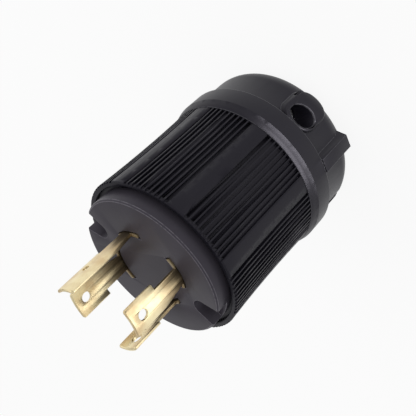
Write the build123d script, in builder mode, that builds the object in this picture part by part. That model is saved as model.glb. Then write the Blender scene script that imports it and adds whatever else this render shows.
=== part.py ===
"""Four-blade twist-lock power plug, standing on its cord end with the blades up.

Millimetres, +Z up along the plug's axis. The origin is the middle of the cord end, which is
the plug's foot. Angles are in degrees, counter-clockwise seen from the blades. The ground
blade stands at 90 degrees and the two line blades at 0 and 180.
"""
import os

from build123d import *

# Lengths along the axis, from the cord end up to the face that the blades stand on
DOME_LENGTH = 17.7
COLLAR_LENGTH = 9.8
GRIP_LENGTH = 39.7
FACE_STEP_LENGTH = 4.7

# Contact carrier, the moulding that holds the blades
FACE_RADIUS = 25.0
FACE_CHAMFER = 0.5
FLANGE_WIDTH = 1.4
FLANGE_THICKNESS = 6.0
CARRIER_LENGTH = 30.0
SLOT_DEPTH = 8.0
SLOT_CLEARANCE = 0.3
SLOT_INNER_GAP = 0.7
NOTCH_DEPTH = 4.2
NOTCH_WIDTH = 6.2
NOTCH_MOUTH_WIDTH = 8.8

# Blades: strips of brass sheet, stamped flat and rolled to one common circle
BLADE_OUTER_RADIUS = 13.6
BLADE_THICKNESS = 1.0
BLADE_LENGTH = 20.3
GROUND_BLADE_LENGTH = 25.0
HOOK_HEIGHT = 9.2
FOOT_STEP_HEIGHT = 0.4
TIP_CORNER_RADIUS = 0.8
TIP_CHAMFER = 0.3
TEST_HOLE_RADIUS = 1.6
GROUND_HOLE_RADIUS = 1.0
TEST_HOLE_TIP_DISTANCE = 4.3
ANCHOR_LENGTH = 2.8
ANCHOR_STEP_WIDTH = 0.6
TAIL_WIDTH = 7.0
TAIL_CLEARANCE = 0.3
# How far foot, neck and head reach sideways from the blade's middle line: ahead is the
# counter-clockwise side, where the hook is, and behind the neck leans out to the head
LINE_FOOT_WIDTH_AHEAD = 4.6
LINE_FOOT_WIDTH_BEHIND = 6.0
LINE_NECK_WIDTH_AHEAD = 1.4
LINE_NECK_WIDTH_BEHIND = 4.2
LINE_HEAD_WIDTH_AHEAD = 3.2
LINE_HEAD_WIDTH_BEHIND = 6.2
SIDE_FOOT_WIDTH_AHEAD = 4.6
SIDE_FOOT_WIDTH_BEHIND = 4.6
SIDE_NECK_WIDTH_AHEAD = 2.7
SIDE_NECK_WIDTH_BEHIND = 2.0
SIDE_HEAD_WIDTH_AHEAD = 5.4
SIDE_HEAD_WIDTH_BEHIND = 3.3

# Terminals: a screw and a clamp plate on each blade's tail
TERMINAL_SLOT_DISTANCE = 9.0
TERMINAL_SHANK_RADIUS = 1.9
TERMINAL_HEAD_RADIUS = 3.6
TERMINAL_HEAD_HEIGHT = 2.4
TERMINAL_END_LENGTH = 1.2
TERMINAL_CLEARANCE = 0.25
TERMINAL_POCKET_RADIUS = 2.5
TERMINAL_POCKET_DEPTH = 2.0
WIRE_GAP = 2.0
CLAMP_PLATE_WIDTH = 7.6
CLAMP_PLATE_LENGTH = 9.0
CLAMP_PLATE_THICKNESS = 1.5
CLAMP_PLATE_CORNER_RADIUS = 1.0

# What all the screws share
DRIVE_SLOT_WIDTH = 1.0
DRIVE_SLOT_DEPTH = 1.1
SCREW_HEAD_CHAMFER = 0.6
SCREW_TIP_CHAMFER = 0.5
THREAD_CLEARANCE = 0.1

# Retainer plate that closes the carrier's back
RETAINER_THICKNESS = 3.0
WIRE_HOLE_RIM_DISTANCE = 4.0
WIRE_HOLE_BLADE_OVERLAP = 0.8
WIRE_FUNNEL_CHAMFER = 0.8

# Ribbed grip sleeve
FACE_GAP = 1.1
CARRIER_CLEARANCE = 0.4
RIM_WALL_THICKNESS = 1.85
RIM_ROUND_RADIUS = 0.5
WAIST_DEPTH = 0.5
WAIST_RIM_DISTANCE = 22.3
REAR_STEP_DEPTH = 0.2
GROOVE_GROUPS = 8
GROOVES_IN_GROUP = 10
GROOVE_ANGLE = 3.4
GROOVE_WIDTH = 1.15
GROOVE_DEPTH = 1.1
GROOVE_RIM_DISTANCE = 1.0
TAIL_WALL_THICKNESS = 2.4
TAIL_LENGTH = 6.8

# Rear housing: a collar that takes the sleeve's tail, and a dome round the cord clamp
SOCKET_CLEARANCE = 0.3
COLLAR_WALL_THICKNESS = 1.2
COLLAR_TAPER_LENGTH = 3.0
COLLAR_TAPER_WIDTH = 0.85
COLLAR_CHAMFER = 0.4
COLLAR_STEP_WIDTH = 1.55
SHOULDER_THICKNESS = 2.7
DOME_ROUND_RADIUS = 7.9
HOUSING_WALL_THICKNESS = 2.6
HOUSING_ANGLE = -4.5
LUG_TOP_WIDTH = 4.4
LUG_BASE_WIDTH = 7.6
LUG_HEIGHT = 2.1
LUG_LENGTH = 13.7

# Assembly screws that pull carrier, sleeve and rear housing together
ASSEMBLY_ANGLE = -45.0
ASSEMBLY_RIM_DISTANCE = 5.3
ASSEMBLY_SHANK_RADIUS = 1.75
ASSEMBLY_HEAD_RADIUS = 2.8
ASSEMBLY_HEAD_HEIGHT = 2.8
ASSEMBLY_SEAT_DEPTH = 9.0
ASSEMBLY_BITE_LENGTH = 13.7
ASSEMBLY_CLEARANCE = 0.3
POST_SIDE_CLEARANCE = 0.4
POST_END_CLEARANCE = 0.3
POST_ROOT_HEIGHT = 2.4
PILOT_SPARE_LENGTH = 1.0

# Cord clamp: two jaws, drawn together by two cross screws that face opposite ways
CLAMP_WALL_DISTANCE = 9.6
CLAMP_TOP_DISTANCE = 3.9
CLAMP_SHANK_RADIUS = 1.75
CLAMP_HEAD_RADIUS = 3.3
CLAMP_HEAD_HEIGHT = 2.4
CLAMP_END_LENGTH = 1.8
CLAMP_CLEARANCE = 0.3
HOOD_RADIUS = 5.0
HOOD_STRETCH_LENGTH = 5.0
HOOD_HEIGHT = 1.4
HOOD_ROUND_RADIUS = 0.9
CLAMP_SEAT_DEPTH = 11.7
HOOD_FLOOR_THICKNESS = 2.6
JAW_LENGTH = 11.0
JAW_GAP = 3.0
JAW_SIDE_THICKNESS = 4.5
JAW_BACK_THICKNESS = 6.0
JAW_EAR_LENGTH = 4.5
JAW_CLEARANCE = 0.5
JAW_BORE_CLEARANCE = 0.6
JAW_HOOD_CLEARANCE = 1.0
JAW_CORNER_RADIUS = 1.0
JAW_GROOVES = 4
JAW_GROOVE_WIDTH = 0.9
JAW_GROOVE_DEPTH = 0.5
JAW_GROOVE_PITCH = 2.6
CORD_LIP_WIDTH = 1.5
NUT_WIDTH = 6.0
NUT_THICKNESS = 3.2
NUT_POCKET_DEPTH = 5.4
NUT_CLEARANCE = 0.2
WINDOW_ANGLE = -43.5
WINDOW_LENGTH = 12.8
WINDOW_WIDTH = 3.6
WINDOW_CORNER_RADIUS = 0.8
WINDOW_CLAMP_DISTANCE = 3.8
SLIT_ANGLE = 44.5
SLIT_LENGTH = 5.6
SLIT_WIDTH = 1.4
SLIT_DEPTH = 1.3
SLIT_CLAMP_DISTANCE = 7.2

# Heights that follow from the sizes above
COLLAR_BACK = DOME_LENGTH
COLLAR_FRONT = COLLAR_BACK + COLLAR_LENGTH
RIM = COLLAR_FRONT + GRIP_LENGTH
FACE = RIM + FACE_STEP_LENGTH
FLANGE_BACK = FACE - FLANGE_THICKNESS
CARRIER_BACK = FACE - CARRIER_LENGTH
RETAINER_BACK = CARRIER_BACK - RETAINER_THICKNESS
TERMINAL_LEVEL = FACE - SLOT_DEPTH - TERMINAL_SLOT_DISTANCE
SHOULDER = COLLAR_BACK + SHOULDER_THICKNESS
SLEEVE_END = COLLAR_FRONT - TAIL_LENGTH
POST_BASE = SHOULDER - POST_ROOT_HEIGHT
POST_TOP = RETAINER_BACK - POST_END_CLEARANCE
ASSEMBLY_SEAT = FACE - ASSEMBLY_SEAT_DEPTH
ASSEMBLY_END = POST_TOP - ASSEMBLY_BITE_LENGTH
PILOT_BOTTOM = ASSEMBLY_END - PILOT_SPARE_LENGTH
JAW_TOP = POST_BASE - JAW_CLEARANCE
JAW_MIDDLE = JAW_TOP - JAW_LENGTH / 2
JAW_BOTTOM = JAW_TOP - JAW_LENGTH
CLAMP_LEVEL = JAW_TOP - CLAMP_TOP_DISTANCE

# Distances from the axis that follow from the sizes above, from the carrier outwards
CARRIER_RADIUS = FACE_RADIUS - FLANGE_WIDTH
GRIP_BORE = CARRIER_RADIUS + CARRIER_CLEARANCE
GRIP_OPENING = FACE_RADIUS + FACE_GAP
GRIP_RIM = GRIP_OPENING + RIM_WALL_THICKNESS
GRIP_WAIST = GRIP_RIM - WAIST_DEPTH
GRIP_REAR = GRIP_RIM - REAR_STEP_DEPTH
TAIL_RADIUS = GRIP_BORE + TAIL_WALL_THICKNESS
SOCKET_RADIUS = TAIL_RADIUS + SOCKET_CLEARANCE
COLLAR_FRONT_RADIUS = SOCKET_RADIUS + COLLAR_WALL_THICKNESS
COLLAR_RADIUS = COLLAR_FRONT_RADIUS + COLLAR_TAPER_WIDTH
DOME_RADIUS = COLLAR_RADIUS - COLLAR_STEP_WIDTH
HOUSING_BORE = DOME_RADIUS - HOUSING_WALL_THICKNESS
MID_WALL = DOME_RADIUS - HOUSING_WALL_THICKNESS / 2
BLADE_INNER_RADIUS = BLADE_OUTER_RADIUS - BLADE_THICKNESS
CORE_RADIUS = BLADE_INNER_RADIUS - SLOT_INNER_GAP
TERMINAL_SEAT = BLADE_OUTER_RADIUS + WIRE_GAP + CLAMP_PLATE_THICKNESS
WIRE_HOLE_OUTSIDE = CARRIER_RADIUS - WIRE_HOLE_RIM_DISTANCE
WIRE_HOLE_INSIDE = BLADE_OUTER_RADIUS - WIRE_HOLE_BLADE_OVERLAP
WIRE_HOLE_CIRCLE = (WIRE_HOLE_OUTSIDE + WIRE_HOLE_INSIDE) / 2
WIRE_HOLE_RADIUS = (WIRE_HOLE_OUTSIDE - WIRE_HOLE_INSIDE) / 2
ASSEMBLY_CIRCLE = FACE_RADIUS - ASSEMBLY_RIM_DISTANCE
POST_RADIUS = GRIP_BORE - POST_SIDE_CLEARANCE - ASSEMBLY_CIRCLE

# Places in the cord clamp that follow from the housing: outwards along its screws and across
CLAMP_SEAT = DOME_RADIUS - CLAMP_SEAT_DEPTH
HOOD_BACK = CLAMP_SEAT - HOOD_FLOOR_THICKNESS
JAW_EAR_BACK = HOOD_BACK - JAW_CLEARANCE
NUT_SEAT = JAW_EAR_BACK - NUT_POCKET_DEPTH
CLAMP_END = NUT_SEAT + NUT_THICKNESS + CLAMP_END_LENGTH
CLAMP_OFFSET = HOUSING_BORE - CLAMP_WALL_DISTANCE
JAW_GRIP_RADIUS = CLAMP_OFFSET - JAW_SIDE_THICKNESS
JAW_BACK = JAW_GRIP_RADIUS + JAW_BACK_THICKNESS
CORD_HOLE_RADIUS = JAW_GRIP_RADIUS + CORD_LIP_WIDTH

# Each blade's angle, the edges of its foot, neck and head, its reach and its hole's radius
line_foot = (-LINE_FOOT_WIDTH_BEHIND, LINE_FOOT_WIDTH_AHEAD)
line_neck = (-LINE_NECK_WIDTH_BEHIND, LINE_NECK_WIDTH_AHEAD)
line_head = (-LINE_HEAD_WIDTH_BEHIND, LINE_HEAD_WIDTH_AHEAD)
side_foot = (-SIDE_FOOT_WIDTH_BEHIND, SIDE_FOOT_WIDTH_AHEAD)
side_neck = (-SIDE_NECK_WIDTH_BEHIND, SIDE_NECK_WIDTH_AHEAD)
side_head = (-SIDE_HEAD_WIDTH_BEHIND, SIDE_HEAD_WIDTH_AHEAD)
BLADES = {
    "line_blade_1": (0.0, line_foot, line_neck, line_head, BLADE_LENGTH, TEST_HOLE_RADIUS),
    "line_blade_2": (180.0, line_foot, line_neck, line_head, BLADE_LENGTH, TEST_HOLE_RADIUS),
    "neutral_blade": (-90.0, side_foot, side_neck, side_head, BLADE_LENGTH, TEST_HOLE_RADIUS),
    "ground_blade": (90.0, side_foot, side_neck, side_head, GROUND_BLADE_LENGTH, GROUND_HOLE_RADIUS),
}

# The housing is the same from both sides, and so is the clamp inside it
HALF_TURNS = (HOUSING_ANGLE, HOUSING_ANGLE + 180)


def side_plane(angle, height, distance=0.0, sideways=0.0):
    """Upright plane: local x runs counter-clockwise, local y up, and local z outwards."""
    outwards = Vector(1, 0, 0).rotate(Axis.Z, angle)
    across = Vector(0, 1, 0).rotate(Axis.Z, angle)
    origin = outwards * distance + across * sideways + Vector(0, 0, height)
    return Plane(origin=origin, x_dir=across, z_dir=outwards)


def level_plane(angle, height):
    """Level plane: local x points outwards at the angle, and local y counter-clockwise."""
    outwards = Vector(1, 0, 0).rotate(Axis.Z, angle)
    return Plane(origin=(0, 0, height), x_dir=outwards, z_dir=(0, 0, 1))


def save(piece, label):
    piece.part.label = label
    export_step(piece.part, f"parts/{label}.step")


def make_blade(angle, foot, neck, head, reach, hole_radius):
    """A flat outline of foot, neck, hooked head and tail, cut from a ring of sheet."""
    tail = TAIL_WIDTH / 2
    anchor = (foot[0] - ANCHOR_STEP_WIDTH, foot[1] + ANCHOR_STEP_WIDTH)
    anchor_end = SLOT_DEPTH + ANCHOR_LENGTH
    tail_end = CARRIER_LENGTH - TAIL_CLEARANCE
    with BuildPart() as piece:
        with BuildSketch(Plane.XY.offset(FACE - tail_end)):
            Circle(BLADE_OUTER_RADIUS)
            Circle(BLADE_INNER_RADIUS, mode=Mode.SUBTRACT)
        extrude(amount=tail_end + reach)
        with BuildSketch(side_plane(angle, FACE)) as outline:
            with BuildLine():
                Polyline(
                    (neck[1], FOOT_STEP_HEIGHT),
                    (neck[1], HOOK_HEIGHT),
                    (head[1], HOOK_HEIGHT),
                    (head[1], reach),
                    (head[0], reach),
                    (head[0], HOOK_HEIGHT),
                    (neck[0], FOOT_STEP_HEIGHT),
                    (foot[0], FOOT_STEP_HEIGHT),
                    (foot[0], -SLOT_DEPTH),
                    (anchor[0], -SLOT_DEPTH),
                    (anchor[0], -anchor_end),
                    (-tail, -anchor_end),
                    (-tail, -tail_end),
                    (tail, -tail_end),
                    (tail, -anchor_end),
                    (anchor[1], -anchor_end),
                    (anchor[1], -SLOT_DEPTH),
                    (foot[1], -SLOT_DEPTH),
                    (foot[1], FOOT_STEP_HEIGHT),
                    close=True,
                )
            make_face()
            fillet(outline.vertices().group_by(Axis.Y)[-1], radius=TIP_CORNER_RADIUS)
            with Locations(((head[0] + head[1]) / 2, BLADE_LENGTH - TEST_HOLE_TIP_DISTANCE)):
                Circle(hole_radius, mode=Mode.SUBTRACT)
            with Locations((0, TERMINAL_LEVEL - FACE)):
                Circle(TERMINAL_SHANK_RADIUS + THREAD_CLEARANCE, mode=Mode.SUBTRACT)
        extrude(amount=BLADE_OUTER_RADIUS + BLADE_THICKNESS, mode=Mode.INTERSECT)
        tip = piece.faces().sort_by(Axis.Z)[-1]
        chamfer(tip.edges().filter_by(lambda edge: edge.length > BLADE_THICKNESS), length=TIP_CHAMFER)
    return piece


def make_clamp_plate(angle):
    """Plate under a terminal screw's head, which presses the wire on the blade's tail."""
    with BuildPart() as piece:
        with BuildSketch(side_plane(angle, TERMINAL_LEVEL, BLADE_OUTER_RADIUS + WIRE_GAP)):
            RectangleRounded(CLAMP_PLATE_WIDTH, CLAMP_PLATE_LENGTH, CLAMP_PLATE_CORNER_RADIUS)
            Circle(TERMINAL_SHANK_RADIUS + TERMINAL_CLEARANCE, mode=Mode.SUBTRACT)
        extrude(amount=CLAMP_PLATE_THICKNESS)
    return piece


def make_screw(seat, head_radius, head_height, shank_radius, shank_length):
    """Slotted screw: the underside of its head lies on the seat plane, the head outside it."""
    outwards = Axis(seat.origin, seat.z_dir)
    with BuildPart() as piece:
        with BuildSketch(seat):
            Circle(head_radius)
        extrude(amount=head_height)
        chamfer(piece.faces().sort_by(outwards)[-1].edges(), length=SCREW_HEAD_CHAMFER)
        with BuildSketch(seat):
            Circle(shank_radius)
        extrude(amount=-shank_length)
        chamfer(piece.faces().sort_by(outwards)[0].edges(), length=SCREW_TIP_CHAMFER)
        with BuildSketch(seat.offset(head_height)):
            Rectangle(2 * head_radius, DRIVE_SLOT_WIDTH)
        extrude(amount=-DRIVE_SLOT_DEPTH, mode=Mode.SUBTRACT)
    return piece


def make_hood(angle):
    """Boss round a clamp screw's head: it grows from inside the wall and stands proud of it."""
    back = side_plane(angle, CLAMP_LEVEL, HOOD_BACK, CLAMP_OFFSET)
    outwards = Axis(back.origin, back.z_dir)
    with BuildPart() as hood:
        with BuildSketch(Plane.XZ):
            with BuildLine():
                round_middle = (DOME_RADIUS - DOME_ROUND_RADIUS, DOME_ROUND_RADIUS)
                proud_round = CenterArc(round_middle, DOME_ROUND_RADIUS + HOOD_HEIGHT, -90, 90)
                Polyline(
                    proud_round @ 1,
                    (DOME_RADIUS + HOOD_HEIGHT, SHOULDER),
                    (0, SHOULDER),
                    (0, -HOOD_HEIGHT),
                    proud_round @ 0,
                )
            make_face()
        revolve(axis=Axis.Z)
        with BuildSketch(back):
            Circle(HOOD_RADIUS)
            Rectangle(2 * HOOD_RADIUS, HOOD_STRETCH_LENGTH, align=(Align.CENTER, Align.MAX))
            with Locations((0, -HOOD_STRETCH_LENGTH)):
                Circle(HOOD_RADIUS)
        extrude(amount=DOME_RADIUS, mode=Mode.INTERSECT)
        fillet(hood.faces().sort_by(outwards)[-1].edges(), radius=HOOD_ROUND_RADIUS)
    return hood


def make_jaw(angle):
    """Half of the cord clamp, with a plain ear at one end and a nut's pocket at the other."""
    with BuildPart() as piece:
        with BuildSketch(level_plane(angle, JAW_BOTTOM)) as section:
            front = JAW_GAP / 2
            ear_span = 2 * (CLAMP_OFFSET + JAW_EAR_LENGTH)
            back_width = 2 * (CLAMP_OFFSET - HOOD_RADIUS - JAW_HOOD_CLEARANCE)
            with Locations((front, 0)):
                Rectangle(JAW_EAR_BACK - front, ear_span, align=(Align.MIN, Align.CENTER))
                Rectangle(JAW_BACK - front, back_width, align=(Align.MIN, Align.CENTER))
            Circle(HOUSING_BORE - JAW_BORE_CLEARANCE, mode=Mode.INTERSECT)
            fillet(section.vertices(), radius=JAW_CORNER_RADIUS)
            Circle(JAW_GRIP_RADIUS, mode=Mode.SUBTRACT)
        extrude(amount=JAW_LENGTH)
        for groove in range(JAW_GROOVES):
            step = groove - (JAW_GROOVES - 1) / 2
            bottom = JAW_MIDDLE + step * JAW_GROOVE_PITCH - JAW_GROOVE_WIDTH / 2
            with BuildSketch(Plane.XY.offset(bottom)):
                Circle(JAW_GRIP_RADIUS + JAW_GROOVE_DEPTH)
            extrude(amount=JAW_GROOVE_WIDTH, mode=Mode.SUBTRACT)
        with BuildSketch(side_plane(angle, CLAMP_LEVEL)):
            with Locations((CLAMP_OFFSET, 0), (-CLAMP_OFFSET, 0)):
                Circle(CLAMP_SHANK_RADIUS + CLAMP_CLEARANCE)
        extrude(amount=JAW_BACK, mode=Mode.SUBTRACT)
        with BuildSketch(side_plane(angle, CLAMP_LEVEL, NUT_SEAT, -CLAMP_OFFSET)):
            nut_outline(NUT_CLEARANCE)
        extrude(amount=JAW_BACK, mode=Mode.SUBTRACT)
    return piece


def nut_outline(margin):
    """Hexagon of the clamp nut, grown by a margin all round, with flats above and below."""
    RegularPolygon(NUT_WIDTH / 2 + margin, 6, major_radius=False)


def make_nut(angle):
    with BuildPart() as piece:
        with BuildSketch(side_plane(angle, CLAMP_LEVEL, NUT_SEAT, -CLAMP_OFFSET)):
            nut_outline(0)
            Circle(CLAMP_SHANK_RADIUS + THREAD_CLEARANCE, mode=Mode.SUBTRACT)
        extrude(amount=NUT_THICKNESS)
    return piece


# Contact carrier: a flanged disc with a slot and an open bay for each blade
with BuildPart() as contact_carrier:
    with BuildSketch(Plane.XY.offset(CARRIER_BACK)):
        Circle(CARRIER_RADIUS)
    extrude(amount=CARRIER_LENGTH)
    with BuildSketch(Plane.XY.offset(FLANGE_BACK)):
        Circle(FACE_RADIUS)
    extrude(amount=FLANGE_THICKNESS)
    chamfer(contact_carrier.faces().sort_by(Axis.Z)[-1].edges(), length=FACE_CHAMFER)
    for angle, foot, neck, head, reach, hole_radius in BLADES.values():
        slot_start = foot[0] - SLOT_CLEARANCE
        slot_end = foot[1] + SLOT_CLEARANCE
        bay_start = slot_start - ANCHOR_STEP_WIDTH - SLOT_CLEARANCE
        bay_end = slot_end + ANCHOR_STEP_WIDTH + SLOT_CLEARANCE
        with BuildSketch(level_plane(angle, FACE)):
            Circle(BLADE_OUTER_RADIUS + SLOT_CLEARANCE)
            Circle(CORE_RADIUS, mode=Mode.SUBTRACT)
            with Locations((0, slot_start)):
                Rectangle(FACE_RADIUS, slot_end - slot_start, align=Align.MIN, mode=Mode.INTERSECT)
        extrude(amount=-SLOT_DEPTH, mode=Mode.SUBTRACT)
        with BuildSketch(level_plane(angle, CARRIER_BACK)):
            with Locations((0, bay_start)):
                Rectangle(FACE_RADIUS, bay_end - bay_start, align=Align.MIN)
            Circle(CORE_RADIUS, mode=Mode.SUBTRACT)
        extrude(amount=CARRIER_LENGTH - SLOT_DEPTH, mode=Mode.SUBTRACT)
        with BuildSketch(side_plane(angle, TERMINAL_LEVEL, BLADE_INNER_RADIUS)):
            Circle(TERMINAL_POCKET_RADIUS)
        extrude(amount=-TERMINAL_POCKET_DEPTH, mode=Mode.SUBTRACT)
    for angle in (ASSEMBLY_ANGLE, ASSEMBLY_ANGLE + 180):
        with BuildSketch(level_plane(angle, FACE)):
            with BuildLine():
                inner_end = CenterArc((ASSEMBLY_CIRCLE, 0), NOTCH_WIDTH / 2, 90, 180)
                half_mouth = NOTCH_MOUTH_WIDTH / 2
                Polyline(
                    inner_end @ 0,
                    (FACE_RADIUS, half_mouth),
                    (FACE_RADIUS + half_mouth, 0),
                    (FACE_RADIUS, -half_mouth),
                    inner_end @ 1,
                )
            make_face()
        extrude(amount=-NOTCH_DEPTH, mode=Mode.SUBTRACT)
    with Locations(Plane.XY.offset(FACE - NOTCH_DEPTH)):
        with PolarLocations(ASSEMBLY_CIRCLE, 2, start_angle=ASSEMBLY_ANGLE):
            CounterBoreHole(
                radius=ASSEMBLY_SHANK_RADIUS + ASSEMBLY_CLEARANCE,
                counter_bore_radius=ASSEMBLY_HEAD_RADIUS + ASSEMBLY_CLEARANCE,
                counter_bore_depth=ASSEMBLY_SEAT_DEPTH - NOTCH_DEPTH,
                depth=CARRIER_LENGTH,
            )

# Retainer plate with a funnelled hole for each wire
with BuildPart() as terminal_retainer:
    with BuildSketch(Plane.XY.offset(RETAINER_BACK)):
        Circle(CARRIER_RADIUS)
        with PolarLocations(WIRE_HOLE_CIRCLE, len(BLADES)):
            Circle(WIRE_HOLE_RADIUS, mode=Mode.SUBTRACT)
        with PolarLocations(ASSEMBLY_CIRCLE, 2, start_angle=ASSEMBLY_ANGLE):
            Circle(ASSEMBLY_SHANK_RADIUS + ASSEMBLY_CLEARANCE, mode=Mode.SUBTRACT)
    extrude(amount=RETAINER_THICKNESS)
    back_edges = terminal_retainer.edges().group_by(Axis.Z)[0]
    chamfer(back_edges.group_by(SortBy.RADIUS)[1], length=WIRE_FUNNEL_CHAMFER)

# Grip sleeve: a waisted tube with a ledge for the carrier and a tail that enters the collar
with BuildPart() as ribbed_sleeve:
    with BuildSketch(Plane.XZ):
        with BuildLine():
            grip = ThreePointArc(
                (GRIP_RIM, RIM),
                (GRIP_WAIST, RIM - WAIST_RIM_DISTANCE),
                (GRIP_REAR, COLLAR_FRONT),
            )
            Polyline(
                grip @ 1,
                (TAIL_RADIUS, COLLAR_FRONT),
                (TAIL_RADIUS, SLEEVE_END),
                (GRIP_BORE, SLEEVE_END),
                (GRIP_BORE, FLANGE_BACK),
                (GRIP_OPENING, FLANGE_BACK),
                (GRIP_OPENING, RIM),
                grip @ 0,
            )
        make_face()
    revolve(axis=Axis.Z)
    fillet(ribbed_sleeve.edges().group_by(Axis.Z)[-1], radius=RIM_ROUND_RADIUS)
    group_turn = 360 / GROOVE_GROUPS
    groove_planes = [
        side_plane(
            HOUSING_ANGLE
            + group_turn * (group + 0.5)
            + GROOVE_ANGLE * (groove - (GROOVES_IN_GROUP - 1) / 2),
            RIM - GROOVE_RIM_DISTANCE - GROOVE_WIDTH / 2,
            GRIP_RIM,
        )
        for group in range(GROOVE_GROUPS)
        for groove in range(GROOVES_IN_GROUP)
    ]
    with BuildSketch(*groove_planes):
        Circle(GROOVE_WIDTH / 2)
        Rectangle(GROOVE_WIDTH, GRIP_LENGTH, align=(Align.CENTER, Align.MAX))
    extrude(amount=-GROOVE_DEPTH, mode=Mode.SUBTRACT)

# Rear housing: collar and dome in one shell, with lugs, screw hoods, windows and posts
hoods = [make_hood(angle) for angle in HALF_TURNS]
with BuildPart() as rear_housing:
    with BuildSketch(Plane.XZ):
        with BuildLine():
            round_middle = (DOME_RADIUS - DOME_ROUND_RADIUS, DOME_ROUND_RADIUS)
            outer_round = CenterArc(round_middle, DOME_ROUND_RADIUS, -90, 90)
            inner_round = CenterArc(round_middle, DOME_ROUND_RADIUS - HOUSING_WALL_THICKNESS, -90, 90)
            Polyline(
                outer_round @ 1,
                (DOME_RADIUS, COLLAR_BACK),
                (COLLAR_RADIUS - COLLAR_CHAMFER, COLLAR_BACK),
                (COLLAR_RADIUS, COLLAR_BACK + COLLAR_CHAMFER),
                (COLLAR_RADIUS, COLLAR_FRONT - COLLAR_TAPER_LENGTH),
                (COLLAR_FRONT_RADIUS, COLLAR_FRONT),
                (SOCKET_RADIUS, COLLAR_FRONT),
                (SOCKET_RADIUS, SHOULDER),
                (HOUSING_BORE, SHOULDER),
                inner_round @ 1,
            )
            Polyline(
                inner_round @ 0,
                (CORD_HOLE_RADIUS, HOUSING_WALL_THICKNESS),
                (CORD_HOLE_RADIUS, 0),
                outer_round @ 0,
            )
        make_face()
    revolve(axis=Axis.Z)
    for angle in HALF_TURNS:
        with BuildSketch(level_plane(angle, COLLAR_BACK - LUG_LENGTH)):
            Polygon(
                (MID_WALL, -LUG_BASE_WIDTH / 2),
                (DOME_RADIUS + LUG_HEIGHT, -LUG_TOP_WIDTH / 2),
                (DOME_RADIUS + LUG_HEIGHT, LUG_TOP_WIDTH / 2),
                (MID_WALL, LUG_BASE_WIDTH / 2),
                align=None,
            )
        extrude(amount=LUG_LENGTH + COLLAR_CHAMFER)
    slit_level = CLAMP_LEVEL - SLIT_CLAMP_DISTANCE
    window_level = CLAMP_LEVEL - WINDOW_CLAMP_DISTANCE
    for angle, hood in zip(HALF_TURNS, hoods):
        add(hood.part)
        with BuildSketch(side_plane(angle, CLAMP_LEVEL, CLAMP_SEAT, CLAMP_OFFSET)):
            Circle(CLAMP_HEAD_RADIUS + CLAMP_CLEARANCE)
        extrude(amount=DOME_RADIUS, mode=Mode.SUBTRACT)
        with BuildSketch(side_plane(angle, CLAMP_LEVEL, CLAMP_SEAT, CLAMP_OFFSET)):
            Circle(CLAMP_SHANK_RADIUS + CLAMP_CLEARANCE)
        extrude(amount=-2 * HOOD_FLOOR_THICKNESS, mode=Mode.SUBTRACT)
        with BuildSketch(side_plane(angle + SLIT_ANGLE, slit_level, DOME_RADIUS - SLIT_DEPTH)):
            SlotOverall(SLIT_LENGTH, SLIT_WIDTH, rotation=90)
        extrude(amount=DOME_RADIUS, mode=Mode.SUBTRACT)
        with BuildSketch(side_plane(angle + WINDOW_ANGLE, window_level, DOME_RADIUS)):
            RectangleRounded(WINDOW_WIDTH, WINDOW_LENGTH, WINDOW_CORNER_RADIUS)
        extrude(amount=-2 * HOUSING_WALL_THICKNESS, mode=Mode.SUBTRACT)
    with BuildSketch(Plane.XY.offset(POST_BASE)):
        with PolarLocations(ASSEMBLY_CIRCLE, 2, start_angle=ASSEMBLY_ANGLE):
            Circle(POST_RADIUS)
            Rectangle(
                MID_WALL - ASSEMBLY_CIRCLE, 2 * POST_RADIUS, align=(Align.MIN, Align.CENTER)
            )
    extrude(amount=SHOULDER - POST_BASE)
    with BuildSketch(Plane.XY.offset(POST_BASE)):
        with PolarLocations(ASSEMBLY_CIRCLE, 2, start_angle=ASSEMBLY_ANGLE):
            Circle(POST_RADIUS)
    extrude(amount=POST_TOP - POST_BASE)
    with BuildSketch(Plane.XY.offset(PILOT_BOTTOM)):
        with PolarLocations(ASSEMBLY_CIRCLE, 2, start_angle=ASSEMBLY_ANGLE):
            Circle(ASSEMBLY_SHANK_RADIUS + THREAD_CLEARANCE)
    extrude(amount=POST_TOP - PILOT_BOTTOM, mode=Mode.SUBTRACT)

os.makedirs("parts", exist_ok=True)
save(contact_carrier, "contact_carrier")
save(terminal_retainer, "terminal_retainer")
save(ribbed_sleeve, "ribbed_sleeve")
save(rear_housing, "rear_housing")

for name, (angle, foot, neck, head, reach, hole_radius) in BLADES.items():
    save(make_blade(angle, foot, neck, head, reach, hole_radius), name)
    save(make_clamp_plate(angle), name.replace("blade", "clamp_plate"))
    terminal_screw = make_screw(
        side_plane(angle, TERMINAL_LEVEL, TERMINAL_SEAT),
        TERMINAL_HEAD_RADIUS,
        TERMINAL_HEAD_HEIGHT,
        TERMINAL_SHANK_RADIUS,
        TERMINAL_SEAT - BLADE_INNER_RADIUS + TERMINAL_END_LENGTH,
    )
    save(terminal_screw, name.replace("blade", "terminal_screw"))

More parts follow.
